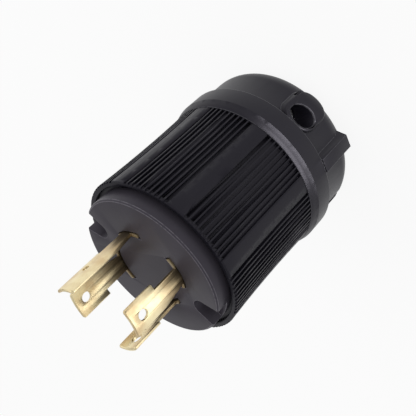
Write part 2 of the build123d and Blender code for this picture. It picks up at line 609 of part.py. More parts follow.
for number, angle in enumerate(HALF_TURNS, start=1):
    save(make_jaw(angle), f"cord_clamp_jaw_{number}")
    save(make_nut(angle), f"cord_clamp_nut_{number}")
    clamp_screw = make_screw(
        side_plane(angle, CLAMP_LEVEL, CLAMP_SEAT, CLAMP_OFFSET),
        CLAMP_HEAD_RADIUS,
        CLAMP_HEAD_HEIGHT,
        CLAMP_SHANK_RADIUS,
        CLAMP_SEAT + CLAMP_END,
    )
    save(clamp_screw, f"cord_clamp_screw_{number}")
    seat = level_plane(ASSEMBLY_ANGLE + 180 * (number - 1), ASSEMBLY_SEAT)
    assembly_screw = make_screw(
        Plane(seat.from_local_coords((ASSEMBLY_CIRCLE, 0, 0)), seat.x_dir, seat.z_dir),
        ASSEMBLY_HEAD_RADIUS,
        ASSEMBLY_HEAD_HEIGHT,
        ASSEMBLY_SHANK_RADIUS,
        ASSEMBLY_SEAT - ASSEMBLY_END,
    )
    save(assembly_screw, f"assembly_screw_{number}")
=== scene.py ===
"""Looks of a four-blade twist-lock plug: softened mouldings, rolled brass blades, threaded screws.

The plug stands on its cord end with the blades up. Lengths are in metres, worked out from
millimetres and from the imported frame's own boxes.
"""

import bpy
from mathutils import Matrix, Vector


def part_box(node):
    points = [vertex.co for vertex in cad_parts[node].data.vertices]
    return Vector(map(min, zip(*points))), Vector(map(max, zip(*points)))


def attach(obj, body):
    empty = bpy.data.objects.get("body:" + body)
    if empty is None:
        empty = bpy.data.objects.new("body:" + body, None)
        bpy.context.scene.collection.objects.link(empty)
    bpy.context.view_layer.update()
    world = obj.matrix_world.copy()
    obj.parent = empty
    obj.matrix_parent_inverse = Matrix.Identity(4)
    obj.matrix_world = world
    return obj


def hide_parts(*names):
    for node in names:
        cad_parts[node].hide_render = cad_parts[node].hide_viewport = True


bl_info = {
    "name": "Twist-lock Plug Finisher",
    "version": (1, 0, 0),
    "blender": (4, 5, 0),
    "location": "View3D > Sidebar > Plug",
    "description": "Finishes a four-blade twist-lock plug and sets up its studio",
    "category": "Object",
}

from math import cos, pi, radians, sin

import bpy
from bpy.props import FloatProperty, FloatVectorProperty, IntProperty, PointerProperty
from mathutils import Matrix, Vector

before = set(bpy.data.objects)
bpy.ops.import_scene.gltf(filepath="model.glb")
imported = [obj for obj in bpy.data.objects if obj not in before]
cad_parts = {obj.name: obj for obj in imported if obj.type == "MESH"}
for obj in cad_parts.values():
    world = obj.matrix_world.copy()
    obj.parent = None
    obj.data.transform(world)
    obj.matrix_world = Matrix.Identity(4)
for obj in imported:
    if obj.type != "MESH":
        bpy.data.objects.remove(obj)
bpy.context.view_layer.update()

MM = 0.001
BLADES = {"line_blade_1": 0, "line_blade_2": 180, "neutral_blade": -90, "ground_blade": 90}
CLAMP_ANGLE = -4.5

# Grooves of the grip sleeve
GROOVE_GROUPS = 8
GROOVES_IN_GROUP = 10
GROOVE_ANGLE = 3.4
GROOVE_WIDTH = 1.15 * MM
RIM_BAND = 1.6 * MM
RIM_NOTCH = 0.45 * MM

# Rear housing
COLLAR_TAPER_BACK = 24.5 * MM
CLAMP_LEVEL = 13.6 * MM
CLAMP_OFFSET = 15.0 * MM
RECESS_RADIUS = 3.6 * MM
RECESS_DEPTH = 19 * MM


# Shader arithmetic


class Wire:
    """A shader socket that takes part in sums, through Math nodes of its own finish."""

    def __init__(self, finish, socket):
        self.finish = finish
        self.socket = socket

    def math(self, operation, *values):
        return self.finish.wire("ShaderNodeMath", {"operation": operation}, dict(enumerate(values)))

    def __add__(self, other):
        return self.math("ADD", self, other)

    __radd__ = __add__

    def __sub__(self, other):
        return self.math("SUBTRACT", self, other)

    def __rsub__(self, other):
        return self.math("SUBTRACT", other, self)

    def __mul__(self, other):
        return self.math("MULTIPLY", self, other)

    __rmul__ = __mul__

    def step(self, low, high):
        """Nought below low, one above high, and smooth in between."""
        settings = {"interpolation_type": "SMOOTHSTEP"}
        return self.finish.wire("ShaderNodeMapRange", settings, {0: self, 1: low, 2: high})


class Finish:
    """A material being built: its tree, its shader and the nodes that feed it."""

    def __init__(self, name):
        self.material = bpy.data.materials.new(name)
        self.material.use_nodes = True
        self.tree = self.material.node_tree
        self.tree.nodes.clear()
        self.output = self.tree.nodes.new("ShaderNodeOutputMaterial")

    def node(self, kind, settings=None, sockets=None):
        """Any node: its own settings go first, then the values or links of its sockets."""
        made = self.tree.nodes.new(kind)
        for key, value in (settings or {}).items():
            if key == "stops":
                self.set_stops(made.color_ramp, value)
            else:
                setattr(made, key, value)
        for key, value in (sockets or {}).items():
            if isinstance(value, Wire):
                self.tree.links.new(value.socket, made.inputs[key])
            else:
                made.inputs[key].default_value = value
        return made

    def set_stops(self, ramp, stops):
        while len(ramp.elements) < len(stops):
            ramp.elements.new(1.0)
        for element, (place, colour) in zip(ramp.elements, stops):
            element.position = place
            element.color = (*colour, 1.0)

    def wire(self, kind, settings=None, sockets=None, output=0):
        return Wire(self, self.node(kind, settings, sockets).outputs[output])

    def place(self, stretch=(1.0, 1.0, 1.0)):
        """Object coordinates, drawn out along each axis by a factor."""
        here = self.wire("ShaderNodeTexCoord", output="Object")
        scale = [1.0 / factor for factor in stretch]
        return self.wire("ShaderNodeMapping", None, {"Vector": here, "Scale": scale})

    def noise(self, size, detail=2.0, stretch=(1.0, 1.0, 1.0)):
        """Cloudy noise whose blotches are about as large as size."""
        sockets = {"Vector": self.place(stretch), "Scale": 1.0 / size, "Detail": detail}
        return self.wire("ShaderNodeTexNoise", None, sockets)

    def specks(self, pitch, stretch=(1.0, 1.0, 1.0)):
        """Distance from scattered points, as a share of the pitch between them."""
        sockets = {"Vector": self.place(stretch), "Scale": 1.0 / pitch}
        return self.wire("ShaderNodeTexVoronoi", None, sockets)

    def blend(self, share, one, other):
        """Colour one where share is nought, the other where it is one."""
        settings = {"data_type": "RGBA"}
        return self.wire("ShaderNodeMix", settings, {0: share, 6: one, 7: other}, output=2)

    def bump(self, height, distance, strength=1.0):
        sockets = {"Height": height, "Distance": distance, "Strength": strength}
        return self.wire("ShaderNodeBump", None, sockets)

    def surface(self, **sockets):
        """The shader itself. Socket names are written with underscores."""
        named = {key.replace("_", " "): value for key, value in sockets.items()}
        shader = self.wire("ShaderNodeBsdfPrincipled", None, named)
        self.tree.links.new(shader.socket, self.output.inputs["Surface"])
        return self.material


def rgba(colour):
    return (*colour, 1.0)


# Finishes


def moulded_nylon(name, colour, spark_size, spark_depth, gloss):
    """Black nylon: spark-eroded grain, cloudy gloss, paler on the rounded edges, partly edge wear and
    partly a painted highlight.
    """
    look = Finish(name)
    cloud = look.noise(9 * MM, 3.0)
    grain = look.noise(spark_size, 2.0)
    edge = look.wire("ShaderNodeAttribute", {"attribute_name": "soft_edge"}, output="Fac")
    # Paler rounded edges in broken streaks: partly edge wear, partly a painted highlight along the
    # edges.
    rub_and_sheen = edge * look.noise(0.9 * MM, 2.0).step(0.15, 0.60)
    pale = [channel * 2.0 + 0.07 for channel in colour]
    deep = [channel * 0.88 for channel in colour]
    tint = look.blend(cloud.step(0.3, 0.7), rgba(deep), rgba(colour))
    tint = look.blend(rub_and_sheen * 0.8, tint, rgba(pale))
    roughness = gloss + 0.04 * cloud + 0.05 * grain - 0.08 * rub_and_sheen
    texture = grain + 2.0 * look.noise(2.6 * spark_size, 2.0)
    return look.surface(
        Base_Color=tint,
        Roughness=roughness,
        Normal=look.bump(texture, spark_depth),
        Specular_IOR_Level=0.23,
        Specular_Tint=rgba((0.92, 0.88, 1.0)),
    )


def brass_sheet(name, settings):
    """Rolled brass: fine lines along the strip, tarnish blotches, a few dark specks, and browner
    towards the face, partly tarnish and partly a painted reflection of the dark face.
    """
    look = Finish(name)
    lines = look.noise(0.22 * MM, 3.0, stretch=(1.0, 1.0, 4.0))
    blotch = look.noise(5 * MM, 3.0)
    speck = 1.0 - look.specks(4.2 * MM).step(0.035, 0.06)
    here = look.wire("ShaderNodeSeparateXYZ", None, {0: look.place()}, output=2)
    # Browner towards the foot by the face: partly tarnish, partly a painted reflection of the dark
    # face below.
    unbrowned = (here + 0.004 * blotch).step(settings.tarnish_and_reflection_low, settings.tarnish_and_reflection_high)
    tint = look.blend(blotch.step(0.35, 0.7), rgba(settings.brass), rgba(settings.brass_deep))
    tint = look.blend((1.0 - unbrowned) * 0.85, tint, rgba(settings.brass_foot))
    tint = look.blend(speck * 0.75, tint, rgba(settings.brass_spot))
    roughness = 0.27 + 0.06 * lines + 0.12 * blotch + 0.25 * speck
    return look.surface(
        Base_Color=tint,
        Metallic=1.0,
        Roughness=roughness,
        Normal=look.bump(lines, 0.0002 * MM),
    )


def turned_metal(name, colour, deep, roughness):
    """Screw metal: fine turning marks and a cloudy plating."""
    look = Finish(name)
    marks = look.noise(0.12 * MM, 2.0)
    cloud = look.noise(1.6 * MM, 3.0)
    tint = look.blend(cloud.step(0.35, 0.7), rgba(colour), rgba(deep))
    return look.surface(
        Base_Color=tint,
        Metallic=1.0,
        Roughness=roughness + 0.15 * cloud + 0.08 * marks,
        Normal=look.bump(marks, 0.006 * MM),
    )


def white_stage(name, shade):
    """White to the eye and in reflections, and still darker where the plug shades it."""
    look = Finish(name)
    ray = look.node("ShaderNodeLightPath")
    seen = [Wire(look, ray.outputs[f"Is {kind} Ray"]) for kind in ("Camera", "Glossy", "Transmission")]
    any_seen = (seen[0] + seen[1] + seen[2]) * (1.0 - shade)
    lit = look.wire("ShaderNodeBsdfDiffuse", None, {"Color": rgba((0.9, 0.9, 0.9))})
    glow = look.wire("ShaderNodeEmission", None, {"Color": rgba((1.0, 1.0, 1.0)), "Strength": 1.0})
    mix = look.wire("ShaderNodeMixShader", None, {0: any_seen, 1: lit, 2: glow})
    look.tree.links.new(mix.socket, look.output.inputs["Surface"])
    return look.material


# Modelling helpers


def pick(thing):
    """Make one object the only selected and active one, out of edit mode."""
    if bpy.context.mode != "OBJECT":
        bpy.ops.object.mode_set(mode="OBJECT")
    bpy.ops.object.select_all(action="DESELECT")
    thing.select_set(True)
    bpy.context.view_layer.objects.active = thing


def edit(thing, kind="EDGE"):
    """Open an object's mesh with nothing selected, ready to select edges, faces or points."""
    pick(thing)
    bpy.ops.object.mode_set(mode="EDIT")
    bpy.ops.mesh.select_mode(type=kind)
    bpy.ops.mesh.select_all(action="DESELECT")


def close(thing):
    """Leave edit mode with the faces turned outwards."""
    bpy.ops.mesh.select_all(action="SELECT")
    bpy.ops.mesh.normals_make_consistent(inside=False)
    bpy.ops.object.mode_set(mode="OBJECT")


def smooth(thing, angle=30):
    pick(thing)
    bpy.ops.object.shade_smooth_by_angle(angle=radians(angle))


def apply(thing, kind, **settings):
    """Add a modifier with these settings and apply it."""
    pick(thing)
    modifier = thing.modifiers.new(kind.title(), kind)
    for key, value in settings.items():
        setattr(modifier, key, value)
    bpy.ops.object.modifier_apply(modifier=modifier.name)


def drawn(name, outline):
    """A chain of edges through points of the XZ plane, left open in edit mode."""
    bpy.ops.object.select_all(action="DESELECT")
    bpy.ops.mesh.primitive_plane_add(size=1 * MM)
    thing = bpy.context.object
    thing.name = name
    bpy.ops.object.mode_set(mode="EDIT")
    bpy.ops.mesh.select_mode(type="VERT")
    bpy.ops.mesh.select_all(action="SELECT")
    bpy.ops.mesh.merge(type="CENTER")
    bpy.ops.transform.translate(value=(outline[0][0], 0, outline[0][1]))
    for (across, up), (next_across, next_up) in zip(outline, outline[1:]):
        step = (next_across - across, 0, next_up - up)
        bpy.ops.mesh.extrude_vertices_move(TRANSFORM_OT_translate={"value": step})
    return thing


def turned(name, outline, sides):
    """A solid turned about Z from an outline that starts and ends on it."""
    thing = drawn(name, outline)
    bpy.ops.mesh.select_all(action="SELECT")
    bpy.ops.mesh.spin(steps=sides, angle=2 * pi, center=(0, 0, 0), axis=(0, 0, 1))
    bpy.ops.mesh.select_all(action="SELECT")
    bpy.ops.mesh.remove_doubles(threshold=0.001 * MM)
    close(thing)
    return thing


def thread_ridge(core, crest, bottom, top, pitch):
    """One helical ridge, sunk a little into the core that it is united with."""
    sunk = core - 0.1 * MM
    low = bottom + pitch / 2
    outline = [
        (sunk, low - 0.35 * pitch),
        (crest, low - 0.05 * pitch),
        (crest, low + 0.05 * pitch),
        (sunk, low + 0.35 * pitch),
    ]
    ridge = drawn("thread_ridge", outline)
    bpy.ops.mesh.select_all(action="SELECT")
    bpy.ops.mesh.edge_face_add()
    bpy.ops.mesh.delete(type="ONLY_FACE")
    turns = int((top - bottom) / pitch) - 1
    apply(ridge, "SCREW", screw_offset=pitch, iterations=turns, steps=24, render_steps=24)
    edit(ridge)
    bpy.ops.mesh.select_non_manifold()
    bpy.ops.mesh.edge_face_add()
    close(ridge)
    return ridge


def unite(thing, tool, operation):
    """Add one solid to another, or cut it out, and delete the tool."""
    apply(thing, "BOOLEAN", operation=operation, object=tool, solver="EXACT")
    bpy.data.objects.remove(tool)


def end_centre(node, direction):
    """Middle of the end that a solid turns towards a direction."""
    points = [vertex.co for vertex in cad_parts[node].data.vertices]
    furthest = max(point.dot(direction) for point in points)
    end = [point for point in points if furthest - point.dot(direction) < 0.02 * MM]
    low = Vector(min(point[axis] for point in end) for axis in range(3))
    high = Vector(max(point[axis] for point in end) for axis in range(3))
    return (low + high) / 2


def slotted_screw(node, direction, settings, head_height, shank, plain, pitch):
    """Screw in place of a solid: rounded head with a slot, plain neck, cut thread and blunt tip."""
    top = end_centre(node, direction)
    length = (top - end_centre(node, -direction)).length
    low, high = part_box(node)
    head = min(high - low) / 2
    crown, tip, core = settings.crown_radius, settings.tip_length, shank - settings.thread_depth
    rounding = [
        (head - crown + crown * sin(step * pi / 12), crown * cos(step * pi / 12) - crown)
        for step in range(7)
    ]
    outline = [
        (0, 0),
        *rounding,
        (head, -head_height),
        (shank, -head_height),
        (shank, -head_height - plain),
        (core, -head_height - plain - settings.thread_depth),
        (core, tip - length),
        (core - tip, -length),
        (0, -length),
    ]
    screw = turned(f"{node}_turned", outline, settings.head_sides)
    ridge = thread_ridge(core, shank, tip - length, -head_height - plain, pitch)
    unite(screw, ridge, "UNION")
    bpy.ops.object.select_all(action="DESELECT")
    slot = (3 * head, settings.slot_width, 2 * settings.slot_depth)
    bpy.ops.mesh.primitive_cube_add(size=1, scale=slot)
    unite(screw, bpy.context.object, "DIFFERENCE")
    smooth(screw)
    turn = direction.to_track_quat("Z", "Y").to_matrix().to_4x4()
    placed(screw, Matrix.Translation(top) @ turn)
    return screw


def level(angle):
    """Level direction at an angle in degrees, counter-clockwise from +X."""
    return Vector((cos(radians(angle)), sin(radians(angle)), 0))


def softened(node, name, radius, tools=(), rims=(), rings=()):
    """A merged copy of a solid whose sharp edges are rounded, as moulds and dies leave them.

    Tools are solids to add or cut first. Rims are tests for the points of an edge that is
    rounded more than the rest, with its rounding. Rings are heights of blunt edges to keep crisp.
    """
    piece = bpy.data.objects.new(name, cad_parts[node].data.copy())
    bpy.context.scene.collection.objects.link(piece)
    edit(piece)
    bpy.ops.mesh.select_all(action="SELECT")
    bpy.ops.mesh.remove_doubles(threshold=0.001 * MM)
    bpy.ops.mesh.dissolve_limited(angle_limit=radians(0.5))
    bpy.ops.object.mode_set(mode="OBJECT")
    for tool, operation in tools:
        unite(piece, tool, operation)
    piece.data.materials.clear()
    for slot in range(2):
        piece.data.materials.append(None)
    # Rims and rounded edges go into the second slot, which the nylon paints paler: partly edge wear,
    # partly a painted highlight.
    for chosen, rounding in rims:
        pick_edges(piece, chosen)
        bpy.ops.mesh.bevel(offset=rounding, segments=4, material=1, clamp_overlap=False)
    if radius:
        edit(piece)
        bpy.ops.mesh.edges_select_sharp(sharpness=radians(28))
        bpy.ops.mesh.bevel(
            offset=radius,
            segments=2,
            profile=0.5,
            material=1,
            clamp_overlap=False,
            miter_outer="SHARP",
        )
    pick(piece)
    mark_rounded(piece)
    for ring in rings:
        pick_edges(piece, lambda point: abs(point.z - ring) < 0.01 * MM)
        bpy.ops.mesh.mark_sharp()
    edit(piece)
    close(piece)
    smooth(piece, 35)
    return piece


def mark_rounded(piece):
    """Write the rounded edges, which are the faces of the second slot, to an attribute."""
    rounded = [float(face.material_index) for face in piece.data.polygons]
    soft_edge = piece.data.attributes.new("soft_edge", "FLOAT", "FACE")
    soft_edge.data.foreach_set("value", rounded)


def pick_edges(thing, chosen):
    """Open a mesh with the edges selected whose two ends pass a test."""
    edit(thing)
    bpy.ops.object.mode_set(mode="OBJECT")
    passed = [chosen(vertex.co) for vertex in thing.data.vertices]
    for line in thing.data.edges:
        line.select = all(passed[vertex] for vertex in line.vertices)
    bpy.ops.object.mode_set(mode="EDIT")


def repeated(thing, copies, turn):
    """Copy all of a mesh round Z, each copy turned by so many degrees from the one before."""
    edit(thing)
    bpy.ops.mesh.select_all(action="SELECT")
    angle = -radians(turn * (copies - 1))
    bpy.ops.mesh.spin(steps=copies - 1, dupli=True, angle=angle, center=(0, 0, 0), axis=(0, 0, 1))
    bpy.ops.object.mode_set(mode="OBJECT")


def placed(thing, matrix):
    """Move a mesh by a matrix and leave its object at the origin."""
    thing.matrix_world = matrix @ thing.matrix_world
    pick(thing)
    bpy.ops.object.transform_apply(location=True, rotation=True, scale=True)


def dress(piece, material, slot, *nodes):
    """Give a finished piece its material and body, and let it stand for its solids."""
    piece.data.materials.clear()
    piece.data.materials.append(material)
    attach(piece, "root")
    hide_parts(*nodes)


def lit_by(name):
    """The pieces that one lamp shines on and no other piece is lit by."""
    return bpy.data.collections.get(name) or bpy.data.collections.new(name)


# Settings


class PlugMouldingSettings(bpy.types.PropertyGroup):
    """Colours and edges of the moulded nylon."""

    body_colour: FloatVectorProperty(
        name="Body colour",
        description="Black of the grip sleeve and the rear housing",
        subtype="COLOR",
        size=3,
        min=0.0,
        max=1.0,
        default=(0.0105, 0.0098, 0.0150),
    )
    face_colour: FloatVectorProperty(
        name="Face colour",
        description="Slightly greyer black of the contact carrier",
        subtype="COLOR",
        size=3,
        min=0.0,
        max=1.0,
        default=(0.050, 0.045, 0.057),
    )
    edge_radius: FloatProperty(
        name="Edge radius",
        description="Rounding that the mould leaves on every outer edge",
        subtype="DISTANCE",
        unit="LENGTH",
        min=0.0,
        default=0.12 * MM,
    )
    recess_radius: FloatProperty(
        name="Recess radius",
        description="Rounding of the screw recesses in the housing",
        subtype="DISTANCE",
        unit="LENGTH",
        min=0.0,
        default=0.45 * MM,
    )
    grain_size: FloatProperty(
        name="Grain size",
        description="Width of the spark-eroded grain",
        subtype="DISTANCE",
        unit="LENGTH",
        min=0.0,
        default=0.14 * MM,
    )
    grain_depth: FloatProperty(
        name="Grain depth",
        description="Depth of the spark-eroded grain",
        subtype="DISTANCE",
        unit="LENGTH",
        min=0.0,
        default=0.004 * MM,
    )


class PlugMetalSettings(bpy.types.PropertyGroup):
    """Colours of the blades, plates and screws."""

    brass: FloatVectorProperty(
        name="Brass",
        description="Clean brass of the blades",
        subtype="COLOR",
        size=3,
        min=0.0,
        max=1.0,
        default=(0.93, 0.81, 0.51),
    )
    brass_deep: FloatVectorProperty(
        name="Tarnished brass",
        description="Slightly darker brass in blotches",
        subtype="COLOR",
        size=3,
        min=0.0,
        max=1.0,
        default=(0.74, 0.57, 0.33),
    )
    # Brass at the foot: partly tarnish, partly a painted reflection of the dark face.
    brass_foot: FloatVectorProperty(
        name="Foot of the blades",
        description="Browner brass by the face",
        subtype="COLOR",
        size=3,
        min=0.0,
        max=1.0,
        default=(0.20, 0.145, 0.08),
    )
    # Heights between which the tarnish and the painted reflection of the face fade out up the blades.
    tarnish_and_reflection_low: FloatProperty(
        name="Browner up to",
        description="Height up to which the blades are at their brownest",
        subtype="DISTANCE",
        unit="LENGTH",
        default=75 * MM,
    )
    tarnish_and_reflection_high: FloatProperty(
        name="Unbrowned from",
        description="Height from which the blades are clean",
        subtype="DISTANCE",
        unit="LENGTH",
        default=86 * MM,
    )
    brass_spot: FloatVectorProperty(
        name="Brass spots",
        description="Small dark spots on the blades",
        subtype="COLOR",
        size=3,
        min=0.0,
        max=1.0,
        default=(0.25, 0.16, 0.07),
    )
    zinc: FloatVectorProperty(
        name="Zinc",
        description="Plating of the steel plates and screws",
        subtype="COLOR",
        size=3,
        min=0.0,
        max=1.0,
        default=(0.62, 0.62, 0.61),
    )
    zinc_deep: FloatVectorProperty(
        name="Dull zinc",
        description="Duller patches of the plating",
        subtype="COLOR",
        size=3,
        min=0.0,
        max=1.0,
        default=(0.48, 0.49, 0.50),
    )
    stamped_radius: FloatProperty(
        name="Stamped edge radius",
        description="Rounding of the blades' stamped edges",
        subtype="DISTANCE",
        unit="LENGTH",
        min=0.0,
        default=0.10 * MM,
    )


class PlugScrewSettings(bpy.types.PropertyGroup):
    """What the slotted screws share."""

    crown_radius: FloatProperty(
        name="Crown radius",
        description="Rounding of the heads",
        subtype="DISTANCE",
        unit="LENGTH",
        min=0.0,
        default=0.7 * MM,
    )
    slot_width: FloatProperty(
        name="Slot width",
        description="Width of the slot for the driver",
        subtype="DISTANCE",
        unit="LENGTH",
        min=0.0,
        default=1.0 * MM,
    )
    slot_depth: FloatProperty(
        name="Slot depth",
        description="Depth of the slot for the driver",
        subtype="DISTANCE",
        unit="LENGTH",
        min=0.0,
        default=1.1 * MM,
    )
    thread_depth: FloatProperty(
        name="Thread depth",
        description="Height of the threads above their root",
        subtype="DISTANCE",
        unit="LENGTH",
        min=0.0,
        default=0.38 * MM,
    )
    fine_pitch: FloatProperty(
        name="Fine pitch",
        description="Rise in one turn of the screws that run in metal",
        subtype="DISTANCE",
        unit="LENGTH",
        min=0.0,
        default=0.7 * MM,
    )
    coarse_pitch: FloatProperty(
        name="Coarse pitch",
        description="Rise in one turn of the screws that run in nylon",
        subtype="DISTANCE",
        unit="LENGTH",
        min=0.0,
        default=1.3 * MM,
    )
    tip_length: FloatProperty(
        name="Tip length",
        description="Length of the tapered tip",
        subtype="DISTANCE",
        unit="LENGTH",
        min=0.0,
        default=0.5 * MM,
    )
    head_sides: IntProperty(
        name="Sides",
        description="Sides of the round heads and shanks",
        min=12,
        default=48,
    )


class PlugStudioSettings(bpy.types.PropertyGroup):
    """Camera and lamps."""

    azimuth: FloatProperty(
        name="Azimuth",
        description="Turn of the camera round the plug, from the side that looks along +Y",
        subtype="ANGLE",
        default=radians(117.44),
    )
    elevation: FloatProperty(
        name="Elevation",
        description="Angle of the camera above the floor",
        subtype="ANGLE",
        default=radians(31.47),
    )
    roll: FloatProperty(
        name="Roll",
        description="Turn of the picture about the view",
        subtype="ANGLE",
        default=radians(-134.8),
    )
    distance: FloatProperty(
        name="Distance",
        description="From the camera to the point that it looks at",
        subtype="DISTANCE",
        unit="LENGTH",
        default=210 * MM,
    )
    target: FloatVectorProperty(
        name="Target",
        description="Point that the camera looks at",
        subtype="XYZ",
        unit="LENGTH",
        size=3,
        default=(7.7 * MM, 4.6 * MM, 48.5 * MM),
    )
    lens: FloatProperty(
        name="Lens",
        description="Focal length, in millimetres on a 36 mm sensor",
        min=1.0,
        default=60.6,
    )
    floor_shade: FloatProperty(
        name="Floor shade",
        description="How much of the lamps' light and shadow shows on the white floor",
        subtype="FACTOR",
        min=0.0,
        max=1.0,
        default=0.10,
    )
    lamp_power: FloatProperty(
        name="Lamp power",
        description="Power of the large overhead lamp",
        subtype="POWER",
        unit="POWER",
        min=0.0,
        default=2.2,
    )
    sky_strength: FloatProperty(
        name="Sky strength",
        description="Soft light from all round",
        subtype="FACTOR",
        min=0.0,
        default=0.55,
    )


# Pieces


class PLUG_OT_contact_carrier(bpy.types.Operator):
    """Soften the face moulding and give it its greyer nylon"""

    bl_idname = "plug.contact_carrier"
    bl_label = "Contact carrier"

    def execute(self, context):
        settings = context.scene.plug_moulding
        nylon = moulded_nylon(
            "face_nylon", settings.face_colour, settings.grain_size, settings.grain_depth, 0.40
        )
        piece = softened("contact_carrier", "carrier_moulding", settings.edge_radius)
        dress(piece, nylon, "face_nylon", "contact_carrier")
        return {"FINISHED"}


class PLUG_OT_terminal_retainer(bpy.types.Operator):
    """Soften the plate that closes the carrier's back"""

    bl_idname = "plug.terminal_retainer"
    bl_label = "Terminal retainer"

    def execute(self, context):
        settings = context.scene.plug_moulding
        nylon = moulded_nylon(
            "retainer_nylon", settings.face_colour, settings.grain_size, settings.grain_depth, 0.45
        )
        piece = softened("terminal_retainer", "retainer_moulding", settings.edge_radius)
        dress(piece, nylon, "face_nylon", "terminal_retainer")
        return {"FINISHED"}


class PLUG_OT_ribbed_sleeve(bpy.types.Operator):
    """Open the ends of the grip's grooves and give it its black nylon"""

    bl_idname = "plug.ribbed_sleeve"
    bl_label = "Ribbed sleeve"

    def execute(self, context):
        settings = context.scene.plug_moulding
        nylon = moulded_nylon(
            "grip_nylon", settings.body_colour, settings.grain_size, settings.grain_depth, 0.38
        )
        tools = [(self.rim_comb(), "DIFFERENCE")]
        piece = softened("ribbed_sleeve", "sleeve_moulding", 0, tools)
        dress(piece, nylon, "grip_nylon", "ribbed_sleeve")
        return {"FINISHED"}

    def rim_comb(self):
        """Teeth that open the ends of the grooves through the rim."""
        low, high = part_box("ribbed_sleeve")
        floor = high.x - RIM_NOTCH
        tooth = (6 * RIM_NOTCH, GROOVE_WIDTH, 2 * RIM_BAND)
        bpy.ops.object.select_all(action="DESELECT")
        bpy.ops.mesh.primitive_cube_add(
            size=1, location=(floor + tooth[0] / 2, 0, high.z), scale=tooth
        )
        comb = bpy.context.object
        first = CLAMP_ANGLE + 180 / GROOVE_GROUPS - GROOVE_ANGLE * (GROOVES_IN_GROUP - 1) / 2
        placed(comb, Matrix.Rotation(radians(first), 4, "Z"))
        repeated(comb, GROOVES_IN_GROUP, GROOVE_ANGLE)
        repeated(comb, GROOVE_GROUPS, 360 / GROOVE_GROUPS)
        return comb


class PLUG_OT_rear_housing(bpy.types.Operator):
    """Soften the collar and dome and give them their black nylon"""

    bl_idname = "plug.rear_housing"
    bl_label = "Rear housing"

    def execute(self, context):
        settings = context.scene.plug_moulding
        nylon = moulded_nylon(
            "housing_nylon", settings.body_colour, settings.grain_size, settings.grain_depth, 0.35
        )
        piece = softened(
            "rear_housing",
            "housing_moulding",
            settings.edge_radius,
            # The recess rims are rounded more and painted paler, a painted highlight that stands in
            # for the lit crescent on each rim.
            rims=[(self.on_recess_rim, settings.recess_radius)],
            rings=[COLLAR_TAPER_BACK],
        )
        dress(piece, nylon, "housing_nylon", "rear_housing")
        lit_by("strip_lit").objects.link(piece)
        return {"FINISHED"}

    def on_recess_rim(self, point):
        """Whether a point lies on the outer rim of one of the two screw recesses."""
        out = level(CLAMP_ANGLE)
        side = level(CLAMP_ANGLE + 90)
        turn = 1 if point.dot(out) > 0 else -1
        across = turn * point.dot(side) - CLAMP_OFFSET
        reach = Vector((across, point.z - CLAMP_LEVEL)).length
        return turn * point.dot(out) > RECESS_DEPTH and abs(reach - RECESS_RADIUS) < 0.03 * MM


class PLUG_OT_blades(bpy.types.Operator):
    """Round the stamped edges of the four blades and give them their rolled brass"""

    bl_idname = "plug.blades"
    bl_label = "Blades"

    def execute(self, context):
        settings = context.scene.plug_metal
        brass = brass_sheet("blade_brass", settings)
        for node in BLADES:
            piece = softened(node, f"{node}_strip", settings.stamped_radius)
            dress(piece, brass, "blade_brass", node)
            lit_by("card_lit").objects.link(piece)
        return {"FINISHED"}


class PLUG_OT_clamp_plates(bpy.types.Operator):
    """Round the edges of the plates that press the wires on the blades' tails"""

    bl_idname = "plug.clamp_plates"
    bl_label = "Clamp plates"

    def execute(self, context):
        settings = context.scene.plug_metal
        zinc = turned_metal("plate_steel", settings.zinc, settings.zinc_deep, 0.30)
        for blade in BLADES:
            node = blade.replace("blade", "clamp_plate")
            piece = softened(node, f"{node}_pressing", settings.stamped_radius)
            dress(piece, zinc, "plate_steel", node)
        return {"FINISHED"}


class PLUG_OT_terminal_screws(bpy.types.Operator):
    """Turn the four terminal screws: brass on the line blades, plated on the others"""

    bl_idname = "plug.terminal_screws"
    bl_label = "Terminal screws"

    def execute(self, context):
        metal = context.scene.plug_metal
        screws = context.scene.plug_screws
        zinc = turned_metal("terminal_steel", metal.zinc, metal.zinc_deep, 0.24)
        brass = turned_metal("terminal_brass", metal.brass, metal.brass_deep, 0.22)
        for blade, angle in BLADES.items():
            node = blade.replace("blade", "terminal_screw")
            screw = slotted_screw(
                node, level(angle), screws, 2.4 * MM, 1.9 * MM, 0.4 * MM, screws.fine_pitch
            )
            if blade.startswith("line"):
                dress(screw, brass, "terminal_brass", node)
            else:
                dress(screw, zinc, "screw_steel", node)
        return {"FINISHED"}


class PLUG_OT_cord_jaws(bpy.types.Operator):
    """Soften the two jaws that hold the cord"""

    bl_idname = "plug.cord_jaws"
    bl_label = "Cord jaws"

    def execute(self, context):
        settings = context.scene.plug_moulding
        nylon = moulded_nylon(
            "clamp_nylon", settings.face_colour, settings.grain_size, settings.grain_depth, 0.45
        )
        for number in (1, 2):
            node = f"cord_clamp_jaw_{number}"
            piece = softened(node, f"{node}_moulding", settings.edge_radius)
            dress(piece, nylon, "clamp_nylon", node)
        return {"FINISHED"}


